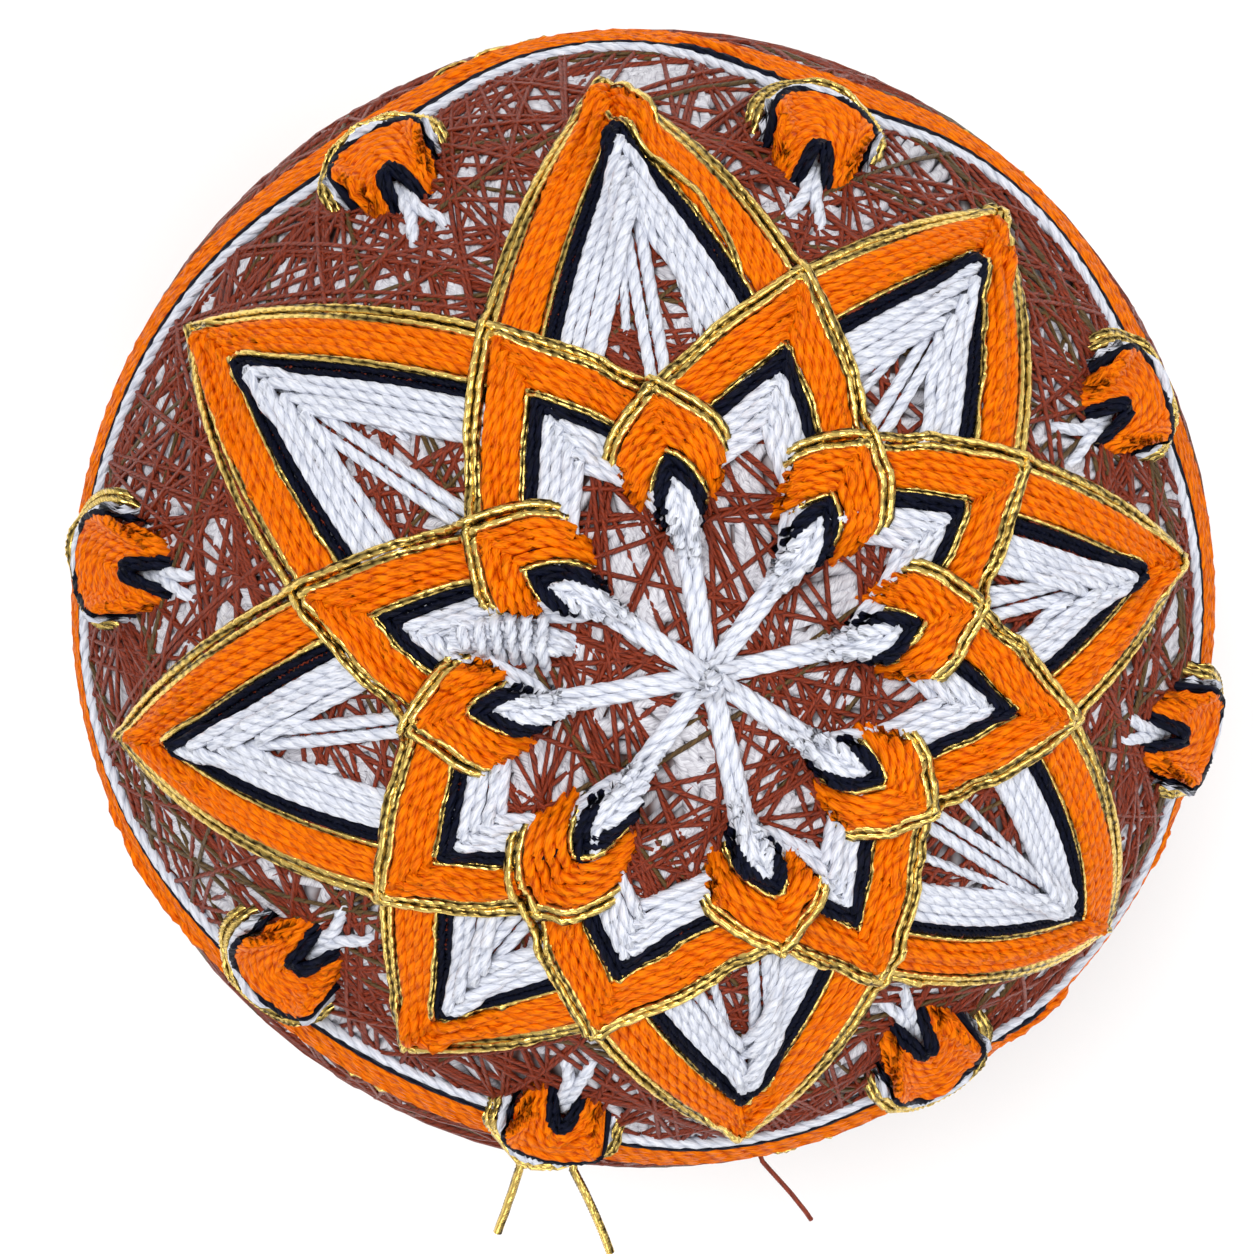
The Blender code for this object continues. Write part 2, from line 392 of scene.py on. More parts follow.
def yarn_tree():
    """Geometry nodes that sweep a thread along every polyline. Its section is a little flattened, as
    two plies side by side, and turns along the thread, or only its pattern turns where "Turns" is 0.
    UV map: U is the length along the thread in metres and V goes once round it, with the plies at
    0 and 0.5."""
    tree_name = "Yarn along a path"
    if tree_name in bpy.data.node_groups:
        return bpy.data.node_groups[tree_name]
    tree = bpy.data.node_groups.new(tree_name, "GeometryNodeTree")
    ports = tree.interface
    for name, kind in (("Geometry", "Geometry"), ("Sides", "Int"), ("Pitch", "Float"), ("Turns", "Float"),
                       ("Flatness", "Float"), ("Material", "Material")):
        ports.new_socket(name, in_out="INPUT", socket_type="NodeSocket" + kind)
    ports.new_socket("Geometry", in_out="OUTPUT", socket_type="NodeSocketGeometry")
    given = add_node(tree, "NodeGroupInput").outputs
    thickness = add_node(tree, "GeometryNodeInputNamedAttribute", {"Name": "thickness"})
    place = add_node(tree, "GeometryNodeSplineParameter").outputs
    line = add_node(tree, "GeometryNodeMeshToCurve", {"Mesh": given["Geometry"]})
    line = add_node(tree, "GeometryNodeStoreNamedAttribute",
                    {"Geometry": line, "Name": "along", "Value": place["Length"]})
    turns = add_node(tree, "ShaderNodeMath", {0: place["Length"], 1: given["Pitch"]}, operation="DIVIDE")
    turned = add_node(tree, "ShaderNodeMath", {0: turns, 1: given["Turns"]}, operation="MULTIPLY")
    angle = add_node(tree, "ShaderNodeMath", {0: turned, 1: 2 * math.pi}, operation="MULTIPLY")
    line = add_node(tree, "GeometryNodeSetCurveTilt", {"Curve": line, "Tilt": angle})
    ring = add_node(tree, "GeometryNodeCurvePrimitiveCircle", {"Resolution": given["Sides"], "Radius": 0.5})
    section = add_node(tree, "ShaderNodeCombineXYZ", {"X": 1.0, "Y": given["Flatness"], "Z": 1.0})
    ring = add_node(tree, "GeometryNodeTransform", {"Geometry": ring, "Scale": section})
    ring = add_node(tree, "GeometryNodeStoreNamedAttribute",
                    {"Geometry": ring, "Name": "around", "Value": place["Factor"]})
    tube = add_node(tree, "GeometryNodeCurveToMesh",
                    {"Curve": line, "Profile Curve": ring, "Scale": thickness, "Fill Caps": True})
    along = add_node(tree, "GeometryNodeInputNamedAttribute", {"Name": "along"})
    around = add_node(tree, "GeometryNodeInputNamedAttribute", {"Name": "around"})
    face_mean = add_node(tree, "GeometryNodeFieldOnDomain", {"Value": around}, domain="FACE")
    behind = add_node(tree, "ShaderNodeMath", {0: face_mean, 1: around}, operation="SUBTRACT")
    last_face = add_node(tree, "ShaderNodeMath", {0: behind, 1: 0.2}, operation="GREATER_THAN")
    turn = add_node(tree, "ShaderNodeMath", {0: around, 1: last_face}, operation="ADD")
    drawn = add_node(tree, "ShaderNodeMath", {0: 1.0, 1: given["Turns"]}, operation="SUBTRACT")
    drawn = add_node(tree, "ShaderNodeMath", {0: drawn, 1: given["Pitch"]}, operation="DIVIDE")
    around_now = add_node(tree, "ShaderNodeMath", {0: along, 1: drawn, 2: turn}, operation="MULTIPLY_ADD")
    both = add_node(tree, "ShaderNodeCombineXYZ", {"X": along, "Y": around_now})
    mapped = add_node(tree, "GeometryNodeStoreNamedAttribute",
                      {"Geometry": tube, "Name": "UVMap", "Value": both},
                      data_type="FLOAT2", domain="CORNER")
    smooth = add_node(tree, "GeometryNodeSetShadeSmooth", {"Geometry": mapped})
    whole = add_node(tree, "GeometryNodeRealizeInstances", {"Geometry": smooth})
    dye_and_shade = add_node(tree, "GeometryNodeSetMaterial", {"Geometry": whole, "Material": given["Material"]})
    add_node(tree, "NodeGroupOutput", {"Geometry": dye_and_shade})
    return tree


def set_input(modifier, name, value):
    """Sets a modifier's input by the identifier of the socket with that name."""
    for item in modifier.node_group.interface.items_tree:
        if item.item_type == "SOCKET" and item.in_out == "INPUT" and item.name == name:
            modifier[item.identifier] = value


def spin(name, strands, material, sides=6, pitch=2.4 * MM, turns=1.0, flatness=0.86):
    """Makes strands, each a centre line with a thickness, into one finished piece of yarn."""
    points = np.concatenate([line for line, _ in strands])
    widths = np.concatenate([np.full(len(line), width) for line, width in strands])
    edges, first = [], 0
    for line, _ in strands:
        run = np.arange(first, first + len(line) - 1)
        edges.append(np.stack([run, run + 1], axis=1))
        first += len(line)
    edges = np.concatenate(edges)
    mesh = bpy.data.meshes.new(name + "_lines")
    mesh.vertices.add(len(points))
    mesh.vertices.foreach_set("co", points.astype(np.float32).ravel())
    mesh.edges.add(len(edges))
    mesh.edges.foreach_set("vertices", edges.astype(np.int32).ravel())
    width = mesh.attributes.new("thickness", "FLOAT", "POINT")
    width.data.foreach_set("value", widths.astype(np.float32))
    mesh.update()
    piece = bpy.data.objects.new(name, mesh)
    bpy.context.scene.collection.objects.link(piece)
    modifier = piece.modifiers.new("Yarn", "NODES")
    modifier.node_group = yarn_tree()
    for port, value in (("Sides", sides), ("Pitch", pitch), ("Turns", turns),
                        ("Flatness", flatness), ("Material", material)):
        set_input(modifier, port, value)
    bpy.context.view_layer.update()
    graph = bpy.context.evaluated_depsgraph_get()
    spun = bpy.data.meshes.new_from_object(piece.evaluated_get(graph), depsgraph=graph)
    piece.modifiers.remove(modifier)
    piece.data = spun
    spun.name = name
    for spare in ("along", "around", "thickness"):
        if spare in spun.attributes:
            spun.attributes.remove(spun.attributes[spare])
    bpy.data.meshes.remove(mesh)
    return piece


def finish_piece(piece, slot, *nodes):
    """Fixes a finished piece to the ball, in the place of any CAD nodes. Its slot is not used."""
    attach(piece, BODY)
    if nodes:
        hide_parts(*nodes)
    return piece


def thinned(line, every):
    """Every so many points of a line, with its last point kept."""
    kept = line[::every]
    return kept if len(line) % every == 1 else np.concatenate([kept, line[-1:]])


# ---------------------------------------------------------------- yarn materials


# Real fibres are 0.02 mm thick: they are drawn as tufts, so many round a thread and so long, to show
TUFTS_ROUND = 14.0
TUFT_LENGTH = 0.9 * MM


def bare_material(name):
    """A new material, with its node tree and its shader."""
    material = bpy.data.materials.new(name)
    material.use_nodes = True
    return material, material.node_tree, material.node_tree.nodes["Principled BSDF"]


def twisted_cotton(name, colour, pitch, deep, shine, roughness):
    """Mercerised cotton, spun and then plied: soft shine, a slanting groove between its plies, and
    fine fibres along them. It reads as a rope of soft strands, with painted shade that darkens its colour
    in the grooves between the plies, and painted highlights and shade, with random tone, along its fibre
    tufts."""
    if name in bpy.data.materials:
        return bpy.data.materials[name]
    material, tree, shader = bare_material(name)
    uv = add_node(tree, "ShaderNodeUVMap", uv_map="UVMap")
    parts = add_node(tree, "ShaderNodeSeparateXYZ", {0: uv})
    along, around = parts.outputs[0], parts.outputs[1]
    wave = add_node(tree, "ShaderNodeMath", {0: around, 1: 2 * math.pi}, operation="MULTIPLY")
    wave = add_node(tree, "ShaderNodeMath", {0: wave}, operation="COSINE")
    ridge = add_node(tree, "ShaderNodeMath", {0: wave}, operation="ABSOLUTE")
    ridge = add_node(tree, "ShaderNodeMath", {0: ridge, 1: 0.5}, operation="POWER")
    tufts = add_node(tree, "ShaderNodeMath", {0: along, 1: TUFTS_ROUND * 0.7 / pitch}, operation="MULTIPLY")
    tufts = add_node(tree, "ShaderNodeMath", {0: around, 1: TUFTS_ROUND, 2: tufts}, operation="MULTIPLY_ADD")
    lengthwise = add_node(tree, "ShaderNodeMath", {0: along, 1: 1 / TUFT_LENGTH}, operation="MULTIPLY")
    lie = add_node(tree, "ShaderNodeCombineXYZ", {"X": tufts, "Y": lengthwise})
    fibre = add_node(tree, "ShaderNodeTexNoise", {"Vector": lie, "Scale": 1.0, "Detail": 3.0})
    height = add_node(tree, "ShaderNodeMath", {0: fibre, 1: 1.2, 2: ridge}, operation="MULTIPLY_ADD")
    bump = add_node(tree, "ShaderNodeBump", {"Strength": 0.9, "Distance": 0.11 * MM, "Height": height})
    tree.links.new(bump.outputs[0], shader.inputs["Normal"])
    # Painted light: the colour runs from deep, a painted shade, up to the thread's own colour. It is darker
    # in the grooves between the plies, and the fibre tufts add streaks of painted shade and highlight with
    # some random tone
    tone = add_node(tree, "ShaderNodeMath", {0: fibre, 1: 2.6, 2: -0.95}, operation="MULTIPLY_ADD")
    tone = add_node(tree, "ShaderNodeMath", {0: ridge, 1: 0.4, 2: tone}, operation="MULTIPLY_ADD")
    ramp = add_node(tree, "ShaderNodeMapRange", {"Value": tone, "From Min": 0.1, "From Max": 1.0})
    dye_and_shade = add_node(tree, "ShaderNodeMix", {0: ramp, 6: (*deep, 1.0), 7: (*colour, 1.0)}, data_type="RGBA")
    tree.links.new(dye_and_shade.outputs[2], shader.inputs["Base Color"])
    shader.inputs["Roughness"].default_value = roughness
    shader.inputs["Specular IOR Level"].default_value = shine
    return material


def metallic_cord(name, colour, deep, pitch):
    """Polyester core wrapped in metallised foil: long slanting facets that catch the light one by
    one, with painted shade, dark olive, in the gaps between them and down their flanks."""
    if name in bpy.data.materials:
        return bpy.data.materials[name]
    material, tree, shader = bare_material(name)
    uv = add_node(tree, "ShaderNodeUVMap", uv_map="UVMap")
    parts = add_node(tree, "ShaderNodeSeparateXYZ", {0: uv})
    along = add_node(tree, "ShaderNodeMath", {0: parts, 1: 1 / pitch}, operation="MULTIPLY")
    place = add_node(tree, "ShaderNodeTexCoord")
    crumple = add_node(tree, "ShaderNodeTexNoise",
                       {"Vector": place.outputs["Object"], "Scale": 1000.0, "Detail": 2.0})
    facets = []
    for way, turns in (("ADD", 2.0), ("SUBTRACT", 1.0)):
        around = add_node(tree, "ShaderNodeMath", {0: parts.outputs[1], 1: turns}, operation="MULTIPLY")
        slant = add_node(tree, "ShaderNodeMath", {0: around, 1: along}, operation=way)
        slant = add_node(tree, "ShaderNodeMath", {0: crumple, 1: 0.5, 2: slant}, operation="MULTIPLY_ADD")
        slant = add_node(tree, "ShaderNodeMath", {0: slant, 1: math.pi}, operation="MULTIPLY")
        slant = add_node(tree, "ShaderNodeMath", {0: slant}, operation="SINE")
        facets.append(add_node(tree, "ShaderNodeMath", {0: slant}, operation="ABSOLUTE"))
    weave = add_node(tree, "ShaderNodeMath", {0: facets[1], 1: 0.35, 2: facets[0]}, operation="MULTIPLY_ADD")
    height = add_node(tree, "ShaderNodeMath", {0: crumple, 1: 0.6, 2: weave}, operation="MULTIPLY_ADD")
    bump = add_node(tree, "ShaderNodeBump", {"Strength": 1.0, "Distance": 0.14 * MM, "Height": height})
    tree.links.new(bump.outputs[0], shader.inputs["Normal"])
    # Painted shade: the colour darkens from the gold towards deep, a dark olive, in the gaps between the
    # facets and down their flanks
    ramp = add_node(tree, "ShaderNodeMapRange", {"Value": weave, "From Min": 0.28, "From Max": 1.0})
    dye_and_shade = add_node(tree, "ShaderNodeMix", {0: ramp, 6: (*deep, 1.0), 7: (*colour, 1.0)}, data_type="RGBA")
    tree.links.new(dye_and_shade.outputs[2], shader.inputs["Base Color"])
    shader.inputs["Metallic"].default_value = 0.9
    shader.inputs["Roughness"].default_value = 0.22
    return material


# Each cotton's name, how far its twist runs in a turn, its painted shade (the darker colour laid into the
# grooves between its plies and streaked along its fibre tufts), its shine and roughness
COTTONS = {
    "white": ("White pearl cotton", 2.4 * MM, "#B4B9C8", 0.25, 0.6),
    "navy": ("Navy pearl cotton", 2.4 * MM, "#03040A", 0.08, 0.5),
    "orange": ("Orange pearl cotton", 2.4 * MM, "#B83C00", 0.06, 0.45),
    "brown": ("Rust-brown sewing thread", 1.8 * MM, "#4A160C", 0.3, 0.4),
    "olive": ("Olive-brown sewing thread", 1.8 * MM, "#33240F", 0.3, 0.4),
    "wound": ("Wound white yarn", 2.8 * MM, "#A9A6AF", 0.15, 0.75),
}


def yarn_material(context, yarn):
    colours = context.scene.temari_colours
    if yarn == "gold":
        # 3A2907 is the gold cord's painted shade, in the gaps between its facets
        return metallic_cord("Foil-wrapped gold cord", colours.gold, linear("#3A2907"), 1.3 * MM)
    name, pitch, deep, shine, roughness = COTTONS[yarn]
    return twisted_cotton(name, getattr(colours, yarn), pitch, linear(deep), shine, roughness)


# ---------------------------------------------------------------- the wound ball


def ball_centre(context):
    sizes = context.scene.temari_ball
    return Vector((MIDDLE_X, MIDDLE_Y, sizes.radius - sizes.flattening))


# Steps in a turn round the ball; how far a group keeps from a great circle, in millimetres; how unevenly
# its turns tilt, in radians; and how unevenly they are spaced, as a share of their spacing
TURN_STEPS = 64
TURN_DRIFT = 2.5
TURN_TILT = 0.012
TURN_SLIP = 0.1
# Turns of white that lie side by side, and the brown turns: what share is wound singly and in pairs
WHITE_GROUP = 6
BROWN_GROUPS = ((1, 0.4), (2, 0.6))
OLIVE_SHARE = 0.13
# How deep the core's surface and the middles of the lowest white and brown turns lie under the ball's
CORE_DEPTH = 0.75 * MM
WHITE_DEPTH = 0.62 * MM
BROWN_DEPTH = 0.13 * MM


def wound_turns(rng, groups, per_group, spacing, radius, centre, thickness, rise):
    """Turns wound round the ball: each group lies side by side round one axis."""
    strands = []
    turn = np.linspace(0, 2 * np.pi, TURN_STEPS + 1)
    for _ in range(groups):
        axis = unit(rng.normal(size=3))
        first = unit(np.cross(axis, unit(rng.normal(size=3))))
        drift = rng.uniform(-TURN_DRIFT, TURN_DRIFT) * MM
        for k in range(per_group):
            tilt = unit(axis + rng.normal(scale=TURN_TILT, size=3))
            a = unit(first - tilt * first.dot(tilt))
            b = np.cross(tilt, a)
            offset = drift + (k - per_group / 2) * spacing + rng.normal(scale=TURN_SLIP) * spacing
            height = radius + rng.uniform(0, rise)
            across = math.sqrt(height ** 2 - offset ** 2)
            start = rng.uniform(0, 2 * np.pi)
            line = across * (np.cos(turn + start)[:, None] * a + np.sin(turn + start)[:, None] * b)
            line = line + tilt * offset + np.array(centre)
            line[:, 2] = np.maximum(line[:, 2], centre[2] - height + FLAT_DEPTH)
            strands.append((line, thickness))
    return strands


class TEMARI_OT_wind_ball(Operator):
    """Winds the ball: white yarn in bundles, with rust-brown thread over it in every direction"""

    bl_idname = "temari.wind_ball"
    bl_label = "Wind the ball"

    def execute(self, context):
        sizes, yarns = context.scene.temari_ball, context.scene.temari_yarns
        centre = ball_centre(context)
        rng = np.random.default_rng(sizes.seed)
        STITCHING["bed"] = Bed(sizes.radius, centre)
        core_radius = sizes.radius - CORE_DEPTH
        bpy.ops.mesh.primitive_uv_sphere_add(segments=128, ring_count=64, radius=core_radius, location=centre)
        core = context.object
        core.name = core.data.name = "mari_core"
        core.data.transform(core.matrix_world)
        core.matrix_world = Matrix.Identity(4)
        for vertex in core.data.vertices:
            vertex.co.z = max(vertex.co.z, centre.z - core_radius + FLAT_DEPTH)
        core.data.shade_smooth()
        core.data.materials.append(wound_core_material())
        finish_piece(core, "mari_yarn", "mari")
        white = wound_turns(rng, sizes.white_turns // WHITE_GROUP, WHITE_GROUP, yarns.wound * 1.02,
                            sizes.radius - WHITE_DEPTH, centre, yarns.wound, 0.3 * MM)
        piece = spin("mari_white_yarn", white, yarn_material(context, "wound"),
                     sides=5, pitch=2.8 * MM, turns=0.0, flatness=1.0)
        finish_piece(piece, "mari_yarn")
        for colour, part in (("olive", OLIVE_SHARE), ("brown", 1.0)):
            thread = []
            for per_group, share in BROWN_GROUPS:
                count = int(sizes.brown_turns * part * share / per_group)
                thread += wound_turns(rng, count, per_group, yarns.brown * 1.3,
                                      sizes.radius - BROWN_DEPTH, centre, yarns.brown, 0.30 * MM)
            piece = spin("mari_" + colour + "_thread", thread, yarn_material(context, colour),
                         sides=4, pitch=1.6 * MM, turns=0.0, flatness=1.0)
            finish_piece(piece, "brown_thread")
        return {"FINISHED"}


def wound_core_material():
    """The deeper turns of the ball, seen only in gaps: matte white yarn in its own shade, crossed by
    brown."""
    material, tree, shader = bare_material("Deep wound yarn")
    place = add_node(tree, "ShaderNodeTexCoord")
    lines = add_node(tree, "ShaderNodeTexWave",
                     {"Vector": place.outputs["Object"], "Scale": 260.0, "Distortion": 4.0})
    shade, lit = (*linear("#6E4A42"), 1.0), (*linear("#CFCBD0"), 1.0)
    dye_and_shade = add_node(tree, "ShaderNodeMix", {0: lines.outputs["Fac"], 6: shade, 7: lit}, data_type="RGBA")
    tree.links.new(dye_and_shade.outputs[2], shader.inputs["Base Color"])
    bump = add_node(tree, "ShaderNodeBump",
                    {"Strength": 0.8, "Distance": 0.2 * MM, "Height": lines.outputs["Fac"]})
    tree.links.new(bump.outputs[0], shader.inputs["Normal"])
    shader.inputs["Roughness"].default_value = 0.9
    return material


# ---------------------------------------------------------------- stitches


# Slant at which a loop's legs leave the line, how far a star's thread runs on under the next ones beyond
# its tip, the small stitches that hold the crossing, and the step along a star's thread
LOOP_LEAN = math.radians(57)
OVERSHOOT = 0.7 * MM
KNOT_STITCHES = 3
STAR_STEP = 0.25 * MM


def row_shares(rows, outer):
    """Where each row's middle falls between the navy edge (0) and the gold edge (1) of a band."""
    width = [ROW_ROOM[row["yarn"]] * MM for row in rows]
    starts = np.concatenate([[0], np.cumsum(width)])
    middles = (starts[:-1] + starts[1:]) / 2
    zero = sum(width[:outer])
    return (middles - zero) / (starts[-1] - zero), starts[-1] - zero


def band_widths(context):
    """Thickness of every yarn of the bands."""
    return {yarn: getattr(context.scene.temari_yarns, yarn) for yarn in ROW_ROOM}


def finish_band(context, prefix, strands):
    """Makes the strands of each colour of a band into one piece."""
    for yarn, lot in strands.items():
        piece = spin(prefix + yarn, lot, yarn_material(context, yarn), flatness=FLATNESS[yarn])
        finish_piece(piece, yarn + ("_cord" if yarn == "gold" else "_thread"))


def lower(way, flip):
    """The same path on the lower half of the ball, where it is flipped."""
    return way * np.array([1.0, 1.0, -1.0 if flip else 1.0])


def crossing(way, azimuth):
    """Index of the point where a path passes a line through the pole."""
    a = math.radians(azimuth)
    off = way @ np.array([-math.sin(a), math.cos(a), 0.0])
    ahead = way @ np.array([math.cos(a), math.sin(a), 0.0]) > 0
    change = np.nonzero((off[:-1] * off[1:] <= 0) & ahead[1:])[0]
    return None if len(change) == 0 else int(change[-1])


def leg(azimuth, from_pole, side, spread, reach, radius, count=26):
    """A loop's leg: from its crossing it runs out to one side, then bends towards the pole."""
    pull = 0.86 * spread
    plan = bezier((0, from_pole), (side * pull, from_pole - pull / math.tan(LOOP_LEAN)),
                  (side * spread, from_pole - reach), count)
    return beside(azimuth, plan[:, 0], plan[:, 1], radius)


def star_arm(line, neighbour, side, share, row, band, radius, nudge, bow):
    """One thread of a star, from its leg at one line's loop to the neighbour's tip."""
    start = heading(line["loop_at"], line["gold_loop"])
    end = heading(neighbour["tip_at"], neighbour["gold_tip"])
    span = math.acos(float(start @ end))
    normal = unit(np.cross(start, end))
    length = span * radius
    s = np.arange(-9 * MM, length + 5 * MM, STAR_STEP)
    along = np.cross(normal, start)
    base = np.cos(s / radius)[:, None] * start + np.sin(s / radius)[:, None] * along
    inward = normal if normal[2] > 0 else -normal
    loop_width = (line["gold_loop"] - line["white_loop"]) * math.radians(1) * radius * math.sin(LOOP_LEAN)
    tip_pack = (neighbour["gold_tip"] - neighbour["white_tip"]) * math.radians(1) * radius * 0.37 / band
    home = (1 - share) * loop_width
    merge = np.clip((s + home / math.tan(LOOP_LEAN)) / (5.0 * MM), 0, 1)
    merge = merge * merge * (3 - 2 * merge)
    part = np.clip(s / length, 0, 1.1)
    near, middle = 0.80, 0.93
    rise, fall = 4 * middle - 3 * near - tip_pack, 2 * near + 2 * tip_pack - 4 * middle
    pack = near + rise * part + fall * part ** 2
    bulge = bow * np.sin(np.pi * np.clip(s / length, 0, 1) ** 0.8)
    depth = home + ((1 - share) * band * pack - home) * merge + nudge - bulge
    way = unit(base * np.cos(depth / radius)[:, None] + inward * np.sin(depth / radius)[:, None])
    first, last = crossing(way, line["loop_at"]), crossing(way, neighbour["tip_at"])
    if first is None or last is None or last <= first:
        raise RuntimeError("a star thread misses its own loop or tip")
    way = way[first:last + 2 + int(OVERSHOOT / STAR_STEP)]
    from_pole = math.acos(float(way[0][2])) * radius
    bend = leg(line["loop_at"], from_pole, -side, row["spread"] * MM, row["reach"] * MM, radius)
    return np.concatenate([bend[::-1], way[1:]])


class TEMARI_OT_stitch_stars(Operator):
    """Stitches a herringbone star on each pole, both sets of petals a row at a time"""

    bl_idname = "temari.stitch_stars"
    bl_label = "Stitch the stars"

    def execute(self, context):
        bed = stitching_bed()
        widths = band_widths(context)
        shares, band = row_shares(STAR_ROWS, WHITE_ROWS)
        rng = np.random.default_rng(context.scene.temari_ball.seed + 1)
        strands = {yarn: [] for yarn in FLATNESS}
        for flip in (False, True):
            lines = [dict(line, **LOWER_TIPS) for line in UPPER_LINES] if flip else UPPER_LINES
            for step, (row, share) in enumerate(zip(STAR_ROWS, shares)):
                bed.lift = FLAT_LAYERS * (1 - step / len(STAR_ROWS))
                for k in PETAL_ORDER:
                    for side in (-1, 1):
                        neighbour = lines[(k - side) % 8]
                        nudge = rng.normal(scale=0.05) * MM
                        way = star_arm(lines[k], neighbour, side, share, row, band, bed.radius, nudge,
                                       neighbour["bow"] * MM)
                        pile = "gold" if row["yarn"] == "thin_gold" else row["yarn"]
                        every = 4 if pile == "gold" else 3
                        strands[pile].append(bed.strand(lower(way, flip), widths[row["yarn"]], every))
        finish_band(context, "star_", strands)
        return {"FINISHED"}


class TEMARI_OT_lay_guides(Operator):
    """Lays the doubled white guide threads out from each pole, with a knot where they cross"""

    bl_idname = "temari.lay_guides"
    bl_label = "Lay the guide threads"

    def execute(self, context):
        bed = stitching_bed()
        width = context.scene.temari_yarns.white
        bed.lift = FLAT_LAYERS
        rng = np.random.default_rng(context.scene.temari_ball.seed + 2)
        strands = []
        for flip in (False, True):
            for line in UPPER_LINES:
                for side in (-0.52, 0.52):
                    angles = np.linspace(0.6, line["white_tip"] + 3, 120)
                    bend = np.clip(angles / 20, 0, 1)
                    outward = np.clip(angles / 60, 0, 1)
                    azimuth = line["loop_at"] + (line["tip_at"] - line["loop_at"]) * outward
                    across = side * width * (0.55 + 0.45 * bend)
                    on_line = heading(azimuth, angles)
                    turn = np.radians(azimuth)
                    sideways = np.stack([-np.sin(turn), np.cos(turn), 0 * azimuth], axis=1)
                    way = unit(on_line + sideways * (across / bed.radius)[:, None])
                    strands.append(bed.strand(lower(way, flip), width, 3, dives=(False, True)))
                # Strays that fan out from the petal's tip, under its rows
                for spread in (-2.3, 2.2):
                    angles = np.linspace(line["white_tip"] + 1.0, line["white_tip"] - rng.uniform(17, 24), 60)
                    share = np.linspace(0, 1, 60)
                    across = (spread + rng.uniform(-0.4, 0.4)) * MM * share
                    way = beside(line["tip_at"], across, np.radians(angles) * bed.radius, bed.radius)
                    strands.append(bed.strand(lower(way, flip), 0.8 * width, 5))
            for _ in range(KNOT_STITCHES):
                azimuth = rng.uniform(0, 180)
                way = np.concatenate([heading(azimuth, np.linspace(1.6, 0.2, 8)),
                                      heading(azimuth + 180, np.linspace(0.2, 1.6, 8))])
                strands.append(bed.strand(lower(way, flip), width, 3, slack=4))
        piece = spin("guide_threads", strands, yarn_material(context, "white"))
        finish_piece(piece, "white_thread")
        return {"FINISHED"}


# Degrees over which the stripe's corners are eased, and the turn of a stripe's thread with its overlap
CORNER_EASE = (-8, -4, 0, 4, 8)
STRIPE_TURN = 364
# Padding under a rim loop: its middle and its length as shares of the loop's, and its half width
PAD_MIDDLE = 0.70
PAD_LENGTH = 1.08
PAD_HALF_WIDTH = 4.9 * MM


def stripe_angles(rim, azimuths):
    """Angle of the stripe's white thread from the pole, all the way round, with its corners eased."""
    at = [loop["at"] for loop in rim] + [line["tip_at"] for line in UPPER_LINES]
    angle = [loop["stripe"] for loop in rim] + [loop["corner"] for loop in rim]
    eased = np.zeros(len(azimuths))
    for shift in CORNER_EASE:
        eased += np.interp((azimuths + shift) % 360, *sorted_round(at, angle)) / len(CORNER_EASE)
    return eased


def sorted_round(at, angle):
    """Stations round the ball in order, with one more past each end."""
    pairs = sorted(zip(at, angle))
    pairs = [(pairs[-1][0] - 360, pairs[-1][1])] + pairs + [(pairs[0][0] + 360, pairs[0][1])]
    return [a for a, _ in pairs], [t for _, t in pairs]


def heap_arc(loop, row, radius):
    """A thread of a rim loop: over its top, and down both sides towards the pole."""
    size = math.radians(loop["outer"] - loop["inner"]) * radius
    top = math.radians(loop["inner"]) * radius + row["place"] * size
    spread, reach = row["spread"] * MM, row["legs"] * size
    curl = math.radians(90 + (HEAP_CURL if row["yarn"] == "orange" else 0) * row["roundness"])
    t = np.linspace(0, curl, 24)
    arc = np.stack([spread * np.sin(t), top - reach * (1 - np.cos(t)) / (1 - math.cos(curl))], axis=1)
    point = bezier((0, top), (spread * 0.75, top - 0.55 * reach), (spread, top - reach), 24)
    half = row["roundness"] * arc + (1 - row["roundness"]) * point
    plan = np.concatenate([half[::-1] * (-1, 1), half[1:]])
    return beside(loop["at"], plan[:, 0], plan[:, 1], radius)


class TEMARI_OT_odd_stitches(Operator):
    """Adds what the maker left uneven: a stray gold stitch over one petal, and a whipped white repair"""

    bl_idname = "temari.odd_stitches"
    bl_label = "Add the odd stitches"

    def execute(self, context):
        bed = stitching_bed()
        yarns = context.scene.temari_yarns
        stray = through(STRAY_GOLD, 60)
        gold = [bed.strand(stray, yarns.thin_gold, 4)]
        finish_piece(spin("stray_gold", gold, yarn_material(context, "gold"), flatness=1.0), "gold_cord")
        white = []
        for k in range(3):
            run = [(azimuth + REPAIR_SPREAD * (k - 1), angle) for azimuth, angle in REPAIR_BUNDLE]
            white.append(bed.strand(through(run, 30), yarns.white, 3))
        for k in range(REPAIR_WRAPS):
            share = k / (REPAIR_WRAPS - 1)
            ends = [np.array(start) + share * (np.array(end) - start) for start, end in REPAIR_EDGES]
            white.append(bed.strand(through(ends, 20), yarns.white, 2))
        finish_piece(spin("whipped_repair", white, yarn_material(context, "white")), "white_thread")
        return {"FINISHED"}


def through(stations, count):
    """A path over the unit ball through stations, each an azimuth and an angle from the pole."""
    ways = heading(*np.array(stations, float).T)
    at = np.linspace(0, len(ways) - 1, count)
    return unit(np.stack([np.interp(at, np.arange(len(ways)), ways[:, i]) for i in range(3)], axis=1))


